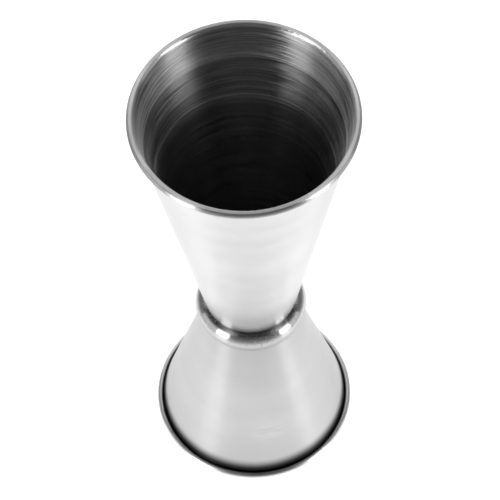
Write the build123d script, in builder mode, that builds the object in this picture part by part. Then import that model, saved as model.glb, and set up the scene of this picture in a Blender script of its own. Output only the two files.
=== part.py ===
from build123d import *
import os
from math import asin, atan2, cos, degrees, hypot, sin, tan

# A double-ended bar jigger: two conical steel cups welded base to base, with a half-round ring
# round the waist. It stands on the small cup's rim, and the large cup opens upwards.
# Millimetres, +Z up. The origin is the centre of the small cup's mouth, on the surface it stands on.

# Overall sizes
HEIGHT = 117.0               # from rim to rim
JOINT_Z = 43.1               # plane where the two cup bases meet
LARGE_MOUTH_RADIUS = 23.75   # outside the large cup's rolled rim
SMALL_MOUTH_RADIUS = 22.3    # outside the small cup's rolled rim
WAIST_RADIUS = 9.5           # both cones' outer surfaces, carried on to the joint plane

# The cups' steel sheet
SHEET = 0.4                  # thickness
BASE_BEND = 2.0              # outer radius of the bend between base and wall
CURL_RADIUS = 0.8            # outer radius of the rolled rim
CURL_TURN = 288.0            # degrees that the rim is rolled through, back towards the wall
RIM_LAND = 0.05              # depth of the flat lapped on the rim, so that the jigger doesn't rock

# The waist ring, a half oval
RING_RADIUS = 12.2           # at its crown
RING_BORE = 9.9              # the cones enter the bore from both ends and seat on its edges
RING_HALF_HEIGHT = 2.9

# The spot welds between the two bases
WELD_COUNT = 3
WELD_CIRCLE = 3.8            # radius of the circle that their centres are on
WELD_RADIUS = 1.5
WELD_REACH = 0.2             # how far each nugget reaches into each base
WELD_ROUND = 0.15            # its rounded edge
MARK_RADIUS = 1.9            # dent that the welding tip leaves on a cup's floor
MARK_DEPTH = 0.06

# Each cup's section is drawn on a plane whose Y runs from the joint towards that cup's mouth
JOINT = (0, 0, JOINT_Z)
UPWARD = Plane(JOINT, x_dir=(1, 0, 0), z_dir=(0, -1, 0))
DOWNWARD = Plane(JOINT, x_dir=(1, 0, 0), z_dir=(0, 1, 0))
LARGE_DEPTH = HEIGHT - JOINT_Z
SMALL_DEPTH = JOINT_Z


def curl_centre(mouth_radius, depth):
    """Centre of the rolled rim's section."""
    return mouth_radius - CURL_RADIUS, depth + RIM_LAND - CURL_RADIUS


def wall_angle(mouth_radius, depth):
    """Angle between wall and axis that makes the wall run tangent into the rolled rim."""
    curl_x, curl_y = curl_centre(mouth_radius, depth)
    across = curl_x - WAIST_RADIUS
    return atan2(across, curl_y) - asin((CURL_RADIUS - SHEET) / hypot(across, curl_y))


def cone_radius(mouth_radius, depth, distance):
    """Radius of a cup's outer surface at a distance from the joint."""
    return WAIST_RADIUS + distance * tan(wall_angle(mouth_radius, depth))


def draw_cup_outline(mouth_radius, depth):
    """Half section of one cup's sheet: base, wall and a rim rolled outwards."""
    slope = wall_angle(mouth_radius, depth)
    centre = curl_centre(mouth_radius, depth)
    start = 180 - degrees(slope)
    inner_corner = (WAIST_RADIUS - SHEET * (1 - sin(slope)) / cos(slope), SHEET)

    curl_outside = CenterArc(centre, CURL_RADIUS, start, -CURL_TURN)
    curl_inside = CenterArc(centre, CURL_RADIUS - SHEET, start, -CURL_TURN)
    Line(curl_outside @ 1, curl_inside @ 1)
    FilletPolyline(curl_inside @ 0, (WAIST_RADIUS, 0), (0, 0), radius=BASE_BEND)
    Line((0, 0), (0, SHEET))
    FilletPolyline((0, SHEET), inner_corner, curl_outside @ 0, radius=BASE_BEND - SHEET)


def make_cup(label, mouth_radius, depth, side):
    """One cup, with a flat on its rim, a recess for each weld and a weld mark on its floor."""
    with BuildPart() as cup:
        with BuildSketch(side):
            with BuildLine():
                draw_cup_outline(mouth_radius, depth)
            make_face()
            with Locations((mouth_radius - CURL_RADIUS, depth)):
                Rectangle(2 * CURL_RADIUS, RIM_LAND, align=(Align.CENTER, Align.MIN), mode=Mode.SUBTRACT)
        revolve(axis=Axis.Z)
        add(spot_welds.part, mode=Mode.SUBTRACT)
        with BuildSketch(Plane(JOINT, z_dir=side.y_dir).offset(SHEET - MARK_DEPTH)):
            with PolarLocations(WELD_CIRCLE, WELD_COUNT):
                Circle(MARK_RADIUS)
        extrude(amount=2 * MARK_DEPTH, mode=Mode.SUBTRACT)
    cup.part.label = label
    return cup.part


# Weld nuggets, half in each base
with BuildPart() as spot_welds:
    with BuildSketch(Plane(JOINT).offset(-WELD_REACH)):
        with PolarLocations(WELD_CIRCLE, WELD_COUNT):
            Circle(WELD_RADIUS)
    extrude(amount=2 * WELD_REACH)
    fillet(spot_welds.edges().filter_by(GeomType.CIRCLE), WELD_ROUND)
spot_welds.part.label = "spot_welds"

# The two cups, base to base
large_cup = make_cup("large_cup", LARGE_MOUTH_RADIUS, LARGE_DEPTH, UPWARD)
small_cup = make_cup("small_cup", SMALL_MOUTH_RADIUS, SMALL_DEPTH, DOWNWARD)

# The waist ring: a half oval, less the shape of the two cones that pass through it
with BuildPart() as waist_ring:
    with BuildSketch(UPWARD):
        with BuildLine():
            crown = EllipticalCenterArc(
                (RING_BORE, 0), RING_RADIUS - RING_BORE, RING_HALF_HEIGHT, start_angle=-90, arc_size=180
            )
            Line(crown @ 1, crown @ 0)
        make_face()
        Polygon(
            (0, RING_HALF_HEIGHT),
            (0, -RING_HALF_HEIGHT),
            (cone_radius(SMALL_MOUTH_RADIUS, SMALL_DEPTH, RING_HALF_HEIGHT), -RING_HALF_HEIGHT),
            (WAIST_RADIUS, 0),
            (cone_radius(LARGE_MOUTH_RADIUS, LARGE_DEPTH, RING_HALF_HEIGHT), RING_HALF_HEIGHT),
            align=None,
            mode=Mode.SUBTRACT,
        )
    revolve(axis=Axis.Z)
waist_ring.part.label = "waist_ring"

os.makedirs("parts", exist_ok=True)
for piece in (large_cup, small_cup, waist_ring.part, spot_welds.part):
    export_step(piece, f"parts/{piece.label}.step")
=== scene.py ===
from math import cos, pi, radians, sin

import bpy
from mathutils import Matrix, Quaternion, Vector


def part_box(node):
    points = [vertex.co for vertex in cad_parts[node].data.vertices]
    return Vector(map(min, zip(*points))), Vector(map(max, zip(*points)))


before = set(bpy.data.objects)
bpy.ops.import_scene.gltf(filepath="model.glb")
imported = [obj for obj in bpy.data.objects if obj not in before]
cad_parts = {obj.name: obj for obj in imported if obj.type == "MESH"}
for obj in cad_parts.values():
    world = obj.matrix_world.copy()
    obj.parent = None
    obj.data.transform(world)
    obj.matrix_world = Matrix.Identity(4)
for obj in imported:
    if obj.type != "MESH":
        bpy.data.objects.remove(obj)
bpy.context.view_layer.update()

# A stainless steel bar jigger in a small studio. Metres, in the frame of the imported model:
# +Z up, the camera on the -Y side, the origin under the jigger on the floor.
MM = 1e-3
MICRON = 1e-6

_, LARGE_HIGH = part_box("large_cup")
SMALL_LOW, SMALL_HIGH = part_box("small_cup")
RING_LOW, RING_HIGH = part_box("waist_ring")

# Camera
CAMERA_AT = Vector((0.0, -0.35287, 0.65241))
CAMERA_AIM = Vector((0.00024, 0.0, 0.06459))
CAMERA_ROLL = -2.09         # degrees
LENS = 230.4                # millimetres, with the sensor's width
SENSOR_WIDTH = 36.0
CLIP_START = 0.01
CLIP_END = 20.0

# Softboxes, by the degrees that they fill: azimuth is 0 towards the camera and grows to the
# right, elevation is up from the horizon. A radiance of 1 shows as white.
STUDIO_RADIUS = 1.5
STUDIO_CENTRE = Vector((0.0, 0.0, (RING_LOW.z + RING_HIGH.z) / 2))
SOFTBOXES = {
    "left_key": {"azimuth": (-62, -40), "elevation": (3, 31), "radiance": 4.7},
    "left_top": {"azimuth": (-62, -40), "elevation": (31, 68), "radiance": 0.55},
    "left_side": {"azimuth": (-98, -62), "elevation": (3, 32), "radiance": 0.7},
    "right_key": {"azimuth": (49, 69), "elevation": (3, 31), "radiance": 4.8},
    "right_top": {"azimuth": (49, 69), "elevation": (31, 68), "radiance": 0.45},
    "right_side": {"azimuth": (69, 94), "elevation": (3, 28), "radiance": 0.8},
    "back_low": {"azimuth": (128, 232), "elevation": (3, 38), "radiance": 0.6},
    "back_high": {"azimuth": (130, 230), "elevation": (38, 66), "radiance": 0.84},
}
WALL_RADIANCE = 0.14        # the dim studio walls, up to their top
CEILING_RADIANCE = 0.005
WALL_TOP = (0.55, 0.85)     # sines of the elevations between which walls fade to ceiling
BOUNCES = 16                # light has to find its way down into the cup and out again

# Floor: a white table that glows, with a painted pool of light under the jigger that runs out behind
# it and a painted shadow where the glow dips at its foot
FLOOR_HALF_WIDTH = 1.4
FLOOR_WHITE = 0.85
FLOOR_ROUGH = 0.9
SHADOWED_GLOW_AT_FOOT = 0.9
GLOW_POOL = 1.1
GLOW_FAR = 0.15
FOOT_SHADOW_ZONE = (28 * MM, 36 * MM)      # distances from the axis between which the glow grows out of the painted shadow at the foot
POOL_EDGE = (85 * MM, 125 * MM)     # and those where it fades again, except behind

# Patterns of noise. Sizes are along X, Y and Z, so lines round the axis are low and wide. The
# noise's own values between the two of contrast are stretched to the tones, or to 0 and 1.

# All steel
ACROSS_BRUSH = 0.25         # of a turn: highlights spread across the brush lines

# Cup steel, on both faces
COARSE_LINES = {"size": (50 * MM, 50 * MM, 1.3 * MM), "detail": 1.0, "contrast": (0.35, 0.65)}
FINE_LINES = {"size": (12 * MM, 12 * MM, 0.34 * MM), "detail": 2.0, "contrast": (0.35, 0.65)}
COARSE_SHARE = 0.35
SMUDGES = {
    "size": (12 * MM, 12 * MM, 12 * MM),
    "detail": 4.0,
    "contrast": (0.3, 0.7),
    "tones": (0.97, 1.02),
}
CLOUDS = {
    "size": (60 * MM, 60 * MM, 7 * MM),
    "detail": 3.0,
    "contrast": (0.3, 0.7),
    "tones": (0.96, 1.02),
}

# The rim, polished by handling
RIM_STEEL = 0.92
RIM_ROUGH = 0.36
RIM_INSIDE = (1.0, 0.5)     # inside, it sets in between these depths in millimetres
RIM_OUTSIDE = (1.3, 0.7)    # and outside, between these distances in from its widest radius

# The inside, turned in bands that get finer with depth, and painted darker further in as shade. Depths
# are in millimetres from the mouth.
BAND_EDGES = [(8.9, 9.5), (19.9, 23.5)]     # depths over which a band gives way to the next
# steel of each band, darkened with depth as painted shade of the cup's inside
BAND_SHADED_STEEL = (0.67, 0.51, 0.33)
BAND_ROUGH = (0.47, 0.38, 0.33)
BAND_STREAKS = (0.7, 0.6, 0.12)             # how far the brush lines vary the brightness
BAND_SCRATCHES = (0.32, 0.42, 0.05)         # how much rougher the scratches make it
SCRATCHES = {"size": (6 * MM, 6 * MM, 0.3 * MM), "detail": 3.0, "contrast": (0.54, 0.68)}
STREAKS_ROUGH_INSIDE = 0.36                 # how far the brush lines vary the roughness
RELIEF_INSIDE = 50 * MICRON                 # height of the brush lines where streaks are 1
LEAN_INSIDE = 0.08                          # how far the fine lines turn the normal sideways

# Lines left inside by the turning tool, with painted highlights along them; the arcs deeper than 20
# millimetres stand for painted reflections of the rim: depth in millimetres, and strength
TURNED_LINES = {
    7.8: 0.7,
    8.4: 0.9,
    8.9: 0.8,
    12.4: 0.5,
    15.1: 0.4,
    20.0: 1.0,
    26.1: 0.5,
    27.6: 0.5,
    30.4: 0.5,
    38.6: 0.4,
}
TURNED_HALF_WIDTH = 0.35
# how much brighter the lines' colour is: a painted highlight
TURNED_HIGHLIGHT = 0.35
TURNED_ROUGHER = 0.2
TURNED_RELIEF = -15 * MICRON

# The outside, satin, with painted shade beside the rim and near the waist ring
STREAKS_OUTSIDE = 0.01
STREAKS_ROUGH_OUTSIDE = 0.04
RELIEF_OUTSIDE = 1 * MICRON
RING_SHADE = (6, 17)           # millimetres from the ring between which the painted shade near it clears
SEAM = (0, 0.8)             # and those between which the painted shade in the seam against the ring does
LARGE_FINISH = {
    "steel": 0.66,
    "rough": 0.20,
    "spread": 1.0,          # of highlights, across the brush lines
    "crease": (1.7, 4.3),   # depths in millimetres between which the painted shade beside the rim clears
    "crease_shade_tone": 0.14,    # what that painted shade leaves of the steel's brightness
    "ring_shade_tone": 0.8,    # what the painted shade near the ring leaves
    "seam_tone": 0.3,       # what the painted shade in the seam against the ring leaves
}
SMALL_FINISH = {
    "steel": 0.56,
    "rough": 0.29,
    "spread": 0.88,
    # the darkest painted shade, in the crease beside the foot's rim
    "crease": (2.2, 5.2),
    "crease_shade_tone": 0.06,
    "ring_shade_tone": 1.0,
    "seam_tone": 1.0,
}

# A scuff from handling, low on the front of the small cup
SCUFF_AT = (2.8 * MM, -17.5 * MM, SMALL_LOW.z + 13.5 * MM)
SCUFF_SIZE = (5 * MM, 5 * MM, 4 * MM)
SCUFF_CORE = 0.3            # share of its size that is fully scuffed
SCUFF_SCRATCHES = {
    "size": (5 * MM, 5 * MM, 0.9 * MM),
    "detail": 1.0,
    "contrast": (0.35, 0.6),
    "tones": (-0.05, 0.06),     # changes, as shares of the brightness
}

# Ring steel, polished, with fine lines, patches of wear and painted shade where it faces down
RING_STEEL = 0.74
RING_WORN_STEEL = 0.85
RING_WORN_ROUGH = 0.33
RING_LINES = {
    "size": (30 * MM, 30 * MM, 0.2 * MM),
    "detail": 2.0,
    "contrast": (0.3, 0.7),
    "tones": (0.2, 0.25),       # roughness
}
RING_WEAR = {"size": (0.8 * MM, 0.8 * MM, 0.5 * MM), "detail": 3.0}
RING_WEAR_CONTRAST = (0.5, 0.66)
RING_PATCHES = {"size": (5 * MM, 5 * MM, 4 * MM), "detail": 2.0, "contrast": (0.5, 0.62)}
RING_RELIEF = 0.5 * MICRON
UNDERSIDE = (0.0, 0.4)      # upward parts of the normal between which the painted shade on the underside clears
UNDERSIDE_SHADE_TONES = (0.6, 1.0)

# Weld metal
WELD_GRAIN = {"size": (0.4 * MM, 0.4 * MM, 0.4 * MM), "detail": 4.0}
WELD_STEEL = (0.35, 0.55)
WELD_ROUGH = (0.4, 0.6)
WELD_RELIEF = 20 * MICRON


class Shader:
    """The node tree of a material or a world, with short calls for the nodes that are used here."""

    def __init__(self, owner):
        owner.use_nodes = True
        self.owner = owner
        self.tree = owner.node_tree

    def node(self, kind, **settings):
        node = self.tree.nodes.new("ShaderNode" + kind)
        for name, value in settings.items():
            setattr(node, name, value)
        return node

    def feed(self, socket, value):
        """Links a socket, or sets a plain value."""
        if isinstance(value, bpy.types.NodeSocket):
            self.tree.links.new(value, socket)
        else:
            socket.default_value = value

    def math(self, operation, *values):
        node = self.node("Math", operation=operation)
        for socket, value in zip(node.inputs, values):
            self.feed(socket, value)
        return node.outputs["Value"]

    def vector(self, operation, *values, output="Vector"):
        """A vector operation, whose output is "Value" where it gives a number."""
        node = self.node("VectorMath", operation=operation)
        for socket, value in zip(node.inputs, values):
            self.feed(socket, value)
        return node.outputs[output]

    def length(self, vector):
        return self.vector("LENGTH", vector, output="Value")

    def upward_part(self, vector):
        node = self.node("SeparateXYZ")
        self.feed(node.inputs["Vector"], vector)
        return node.outputs["Z"]

    def position(self):
        return self.node("TexCoord").outputs["Object"]

    def normal(self):
        return self.node("NewGeometry").outputs["Normal"]

    def noise(self, size, detail):
        """Noise from about 0 to 1, with features of the given size along X, Y and Z."""
        node = self.node("TexNoise")
        self.feed(node.inputs["Vector"], self.vector("DIVIDE", self.position(), size))
        self.feed(node.inputs["Scale"], 1.0)
        self.feed(node.inputs["Detail"], detail)
        return node.outputs["Fac"]

    def fade(self, value, start, end, low=0.0, high=1.0):
        """Smooth step from low at start to high at end."""
        node = self.node("MapRange", interpolation_type="SMOOTHSTEP")
        wanted = {"Value": value, "From Min": start, "From Max": end, "To Min": low, "To Max": high}
        for name, setting in wanted.items():
            self.feed(node.inputs[name], setting)
        return node.outputs["Result"]

    def pattern(self, size, detail, contrast, tones=(0.0, 1.0)):
        """Noise whose values between the two of contrast are stretched to the tones."""
        return self.fade(self.noise(size, detail), *contrast, *tones)

    def mix(self, share, low, high):
        """low where share is 0, high where it is 1."""
        node = self.node("MapRange", clamp=True)
        for name, setting in {"Value": share, "To Min": low, "To Max": high}.items():
            self.feed(node.inputs[name], setting)
        return node.outputs["Result"]

    def vary(self, value, pattern, strength=1.0):
        """value * (1 + pattern * strength)."""
        return self.math("MULTIPLY", value, self.math("MULTIPLY_ADD", pattern, strength, 1.0))

    def grey(self, value):
        node = self.node("CombineColor")
        for socket in node.inputs:
            self.feed(socket, value)
        return node.outputs["Color"]


class CupShader(Shader):
    """A cup's node tree, which knows where on the cup a point is.

    depth is its distance from the plane of the mouth, from_ring its distance from the waist ring
    towards the mouth, and inset its distance in from the rim's widest radius, all in millimetres.
    inside is 1 on the cup's inner faces and 0 elsewhere.
    """

    def __init__(self, owner, mouth_z, mouth_radius, ring_z):
        super().__init__(owner)
        upward = 1 if mouth_z > ring_z else -1
        from_mouth = self.math("SUBTRACT", self.upward_part(self.position()), mouth_z)
        self.depth = self.math("MULTIPLY", from_mouth, -upward / MM)
        self.from_ring = self.math("SUBTRACT", abs(mouth_z - ring_z) / MM, self.depth)

        across = self.vector("MULTIPLY", self.position(), (1, 1, 0))
        from_edge = self.math("SUBTRACT", mouth_radius, self.length(across))
        self.inset = self.math("MULTIPLY", from_edge, 1 / MM)

        # Inner faces look at the axis, or out of the mouth
        outward = self.vector("NORMALIZE", across)
        inward = self.vector("SUBTRACT", (0, 0, upward), outward)
        facing = self.vector("DOT_PRODUCT", self.normal(), inward, output="Value")
        self.inside = self.math("GREATER_THAN", facing, 0.0)

    def pick(self, outside, inside):
        """One value on the outer faces and another on the inner ones."""
        return self.mix(self.inside, outside, inside)

    def by_band(self, values):
        """A value for each band of the inside, blended at the bands' edges."""
        result = values[0]
        for edge, value in zip(BAND_EDGES, values[1:]):
            result = self.mix(self.fade(self.depth, *edge), result, value)
        return result


def make_camera():
    data = bpy.data.cameras.new("camera")
    data.lens = LENS
    data.sensor_width = SENSOR_WIDTH
    data.clip_start = CLIP_START
    data.clip_end = CLIP_END
    camera = bpy.data.objects.new("camera", data)
    bpy.context.scene.collection.objects.link(camera)
    look = (CAMERA_AIM - CAMERA_AT).to_track_quat("-Z", "Y")
    camera.location = CAMERA_AT
    camera.rotation_mode = "QUATERNION"
    camera.rotation_quaternion = look @ Quaternion((0, 0, 1), radians(CAMERA_ROLL))
    bpy.context.scene.camera = camera


def make_softbox(name, azimuth, elevation, radiance):
    """A rectangular light that fills the given angles, seen from the jigger's waist."""
    turn = radians(sum(azimuth) / 2)
    lift = radians(sum(elevation) / 2)
    away = Vector((sin(turn) * cos(lift), -cos(turn) * cos(lift), sin(lift)))
    data = bpy.data.lights.new(name, "AREA")
    data.shape = "RECTANGLE"
    data.size = 2 * STUDIO_RADIUS * cos(lift) * sin(radians(azimuth[1] - azimuth[0]) / 2)
    data.size_y = 2 * STUDIO_RADIUS * sin(radians(elevation[1] - elevation[0]) / 2)
    data.energy = radiance * pi * data.size * data.size_y
    light = bpy.data.objects.new(name, data)
    light.location = STUDIO_CENTRE + away * STUDIO_RADIUS
    light.rotation_mode = "QUATERNION"
    light.rotation_quaternion = (-away).to_track_quat("-Z", "Y")
    light.visible_camera = False
    bpy.context.scene.collection.objects.link(light)


def make_world():
    """Dim studio walls under a dark ceiling."""
    world = bpy.data.worlds.new("studio")
    bpy.context.scene.world = world
    shader = Shader(world)
    height = shader.upward_part(shader.node("TexCoord").outputs["Generated"])
    strength = shader.fade(height, *WALL_TOP, WALL_RADIANCE, CEILING_RADIANCE)
    background = shader.tree.nodes["Background"]
    background.inputs["Color"].default_value = (1, 1, 1, 1)
    shader.feed(background.inputs["Strength"], strength)


def make_table_material():
    shader = Shader(bpy.data.materials.new("lit_table"))
    place = shader.position()
    in_front = shader.vector("MINIMUM", place, (FLOOR_HALF_WIDTH, 0, 0))
    # The table's glow is painted light: a pool of light, dimmer at the foot as a painted shadow
    glow = shader.fade(shader.length(place), *FOOT_SHADOW_ZONE, SHADOWED_GLOW_AT_FOOT, GLOW_POOL)
    glow = shader.fade(shader.length(in_front), *POOL_EDGE, glow, GLOW_FAR)
    surface = shader.tree.nodes["Principled BSDF"]
    surface.inputs["Base Color"].default_value = (FLOOR_WHITE, FLOOR_WHITE, FLOOR_WHITE, 1)
    surface.inputs["Roughness"].default_value = FLOOR_ROUGH
    surface.inputs["Specular IOR Level"].default_value = 0.0
    surface.inputs["Emission Color"].default_value = (1, 1, 1, 1)
    shader.feed(surface.inputs["Emission Strength"], glow)
    return shader.owner


def make_floor():
    half = FLOOR_HALF_WIDTH
    corners = [(-half, -half, 0), (half, -half, 0), (half, half, 0), (-half, half, 0)]
    mesh = bpy.data.meshes.new("floor")
    mesh.from_pydata(corners, [], [(0, 1, 2, 3)])
    mesh.materials.append(make_table_material())
    floor = bpy.data.objects.new("floor", mesh)
    bpy.context.scene.collection.objects.link(floor)


def finish_steel(shader, roughness, colour, height, lean=0.0, spread=1.0):
    """Steel with brush lines round the axis, which spread highlights across them.

    height is the bump's, in metres, and lean tips the normal sideways, round the axis.
    """
    surface = shader.tree.nodes["Principled BSDF"]
    surface.inputs["Metallic"].default_value = 1.0
    surface.inputs["Anisotropic"].default_value = spread
    surface.inputs["Anisotropic Rotation"].default_value = ACROSS_BRUSH
    round_axis = shader.node("Tangent", direction_type="RADIAL", axis="Z").outputs["Tangent"]
    shader.feed(surface.inputs["Tangent"], round_axis)
    shader.feed(surface.inputs["Base Color"], shader.grey(colour))
    shader.feed(surface.inputs["Roughness"], roughness)

    push = shader.node("VectorMath", operation="SCALE")
    shader.feed(push.inputs["Vector"], round_axis)
    shader.feed(push.inputs["Scale"], lean)
    leaning = shader.vector("ADD", shader.normal(), push.outputs["Vector"])
    bump = shader.node("Bump")
    bump.inputs["Distance"].default_value = 1.0
    shader.feed(bump.inputs["Height"], height)
    shader.feed(bump.inputs["Normal"], shader.vector("NORMALIZE", leaning))
    shader.feed(surface.inputs["Normal"], bump.outputs["Normal"])


def turned_lines(shader):
    """The turning tool's lines, which are only inside and carry painted highlights: 0 between them,
    their strength on them.
    """
    total = 0.0
    for depth, strength in TURNED_LINES.items():
        distance = shader.math("ABSOLUTE", shader.math("SUBTRACT", shader.depth, depth))
        line = shader.fade(distance, TURNED_HALF_WIDTH, 0.0, 0.0, strength)
        total = shader.math("ADD", total, line)
    return shader.math("MULTIPLY", total, shader.inside)


def smudges_and_clouds(shader):
    """Slight changes of tone, as a factor of the brightness."""
    return shader.math("MULTIPLY", shader.pattern(**SMUDGES), shader.pattern(**CLOUDS))


def handling_scuff(shader):
    """The scuff's change of brightness, as a share of it."""
    away = shader.vector("SUBTRACT", shader.position(), SCUFF_AT)
    away = shader.vector("DIVIDE", away, SCUFF_SIZE)
    patch = shader.fade(shader.length(away), 1.0, SCUFF_CORE)
    return shader.math("MULTIPLY", patch, shader.pattern(**SCUFF_SCRATCHES))


def painted_crease_shade(shader, rim, finish):
    """Painted shade: what is left of the outside's brightness beside the rim and near the ring."""
    crease = shader.fade(shader.depth, *finish["crease"], finish["crease_shade_tone"], 1.0)
    crease = shader.math("MAXIMUM", crease, shader.mix(rim, finish["crease_shade_tone"], 1.0))
    ring_shade = shader.fade(shader.from_ring, *RING_SHADE, finish["ring_shade_tone"], 1.0)
    seam = shader.fade(shader.from_ring, *SEAM, finish["seam_tone"], 1.0)
    tones = shader.math("MULTIPLY", crease, shader.math("MULTIPLY", ring_shade, seam))
    return shader.pick(outside=tones, inside=1.0)


def make_cup_steel(name, finish, **place):
    """Sheet steel: brushed in bands inside, satin outside, and a polished rim."""
    shader = CupShader(bpy.data.materials.new(name), **place)
    rim_outside = shader.fade(shader.inset, *RIM_OUTSIDE)
    rim = shader.pick(outside=rim_outside, inside=shader.fade(shader.depth, *RIM_INSIDE))
    fine = shader.pattern(**FINE_LINES)
    lines = shader.mix(COARSE_SHARE, fine, shader.pattern(**COARSE_LINES))
    centred_lines = shader.math("SUBTRACT", lines, 0.5)
    streaks = shader.by_band(BAND_STREAKS)
    turned = turned_lines(shader)

    rough = shader.pick(outside=finish["rough"], inside=shader.by_band(BAND_ROUGH))
    rough_streaks = shader.pick(outside=STREAKS_ROUGH_OUTSIDE, inside=STREAKS_ROUGH_INSIDE)
    rough = shader.vary(rough, centred_lines, rough_streaks)
    scratched = shader.pick(outside=0.0, inside=shader.by_band(BAND_SCRATCHES))
    rough = shader.vary(rough, shader.pattern(**SCRATCHES), scratched)
    rough = shader.vary(rough, turned, TURNED_ROUGHER)
    rough = shader.mix(rim, rough, RIM_ROUGH)

    # Inside, the bands' steel darkens with depth as painted shade
    colour = shader.pick(outside=finish["steel"], inside=shader.by_band(BAND_SHADED_STEEL))
    colour = shader.math("MULTIPLY", colour, smudges_and_clouds(shader))
    colour = shader.vary(colour, centred_lines, shader.pick(outside=STREAKS_OUTSIDE, inside=streaks))
    colour = shader.vary(colour, handling_scuff(shader))
    # Painted highlights along the turned lines
    colour = shader.vary(colour, turned, TURNED_HIGHLIGHT)
    colour = shader.mix(rim, colour, RIM_STEEL)
    # Painted shade beside the rim and near the waist ring
    colour = shader.math("MULTIPLY", colour, painted_crease_shade(shader, rim_outside, finish))

    relief_inside = shader.math("MULTIPLY", streaks, RELIEF_INSIDE)
    relief = shader.pick(outside=RELIEF_OUTSIDE, inside=relief_inside)
    height = shader.math("MULTIPLY_ADD", lines, relief, shader.math("MULTIPLY", turned, TURNED_RELIEF))
    lean_inside = shader.math("MULTIPLY", shader.math("SUBTRACT", fine, 0.5), LEAN_INSIDE)
    lean = shader.pick(outside=0.0, inside=lean_inside)
    finish_steel(shader, rough, colour, height, lean, finish["spread"])
    return shader.owner


def make_ring_steel():
    shader = Shader(bpy.data.materials.new("polished_steel_ring"))
    wear = shader.noise(**RING_WEAR)
    worn = shader.fade(wear, *RING_WEAR_CONTRAST)
    worn = shader.math("MULTIPLY", worn, shader.pattern(**RING_PATCHES))
    rough = shader.mix(worn, shader.pattern(**RING_LINES), RING_WORN_ROUGH)
    # Painted shade: the ring's colour is darker where its normal turns level and down
    underside_shade = shader.fade(shader.upward_part(shader.normal()), *UNDERSIDE, *UNDERSIDE_SHADE_TONES)
    colour = shader.math("MULTIPLY", shader.mix(worn, RING_STEEL, RING_WORN_STEEL), underside_shade)
    finish_steel(shader, rough, colour, shader.math("MULTIPLY", wear, RING_RELIEF))
    return shader.owner


def make_weld_metal():
    shader = Shader(bpy.data.materials.new("weld_metal"))
    grain = shader.noise(**WELD_GRAIN)
    rough = shader.mix(grain, *WELD_ROUGH)
    colour = shader.mix(grain, *WELD_STEEL)
    finish_steel(shader, rough, colour, shader.math("MULTIPLY", grain, WELD_RELIEF))
    return shader.owner


make_camera()
make_world()
for name, box in SOFTBOXES.items():
    make_softbox(name, **box)
make_floor()
scene = bpy.context.scene
scene.view_settings.view_transform = "Standard"
scene.cycles.max_bounces = BOUNCES
scene.cycles.glossy_bounces = BOUNCES

materials = {
    "large_cup": make_cup_steel(
        "satin_steel_large",
        LARGE_FINISH,
        mouth_z=LARGE_HIGH.z,
        mouth_radius=LARGE_HIGH.x,
        ring_z=RING_HIGH.z,
    ),
    "small_cup": make_cup_steel(
        "satin_steel_small",
        SMALL_FINISH,
        mouth_z=SMALL_LOW.z,
        mouth_radius=SMALL_HIGH.x,
        ring_z=RING_LOW.z,
    ),
    "waist_ring": make_ring_steel(),
    "spot_welds": make_weld_metal(),
}
for node, material in materials.items():
    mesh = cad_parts[node].data
    mesh.materials.clear()
    mesh.materials.append(material)
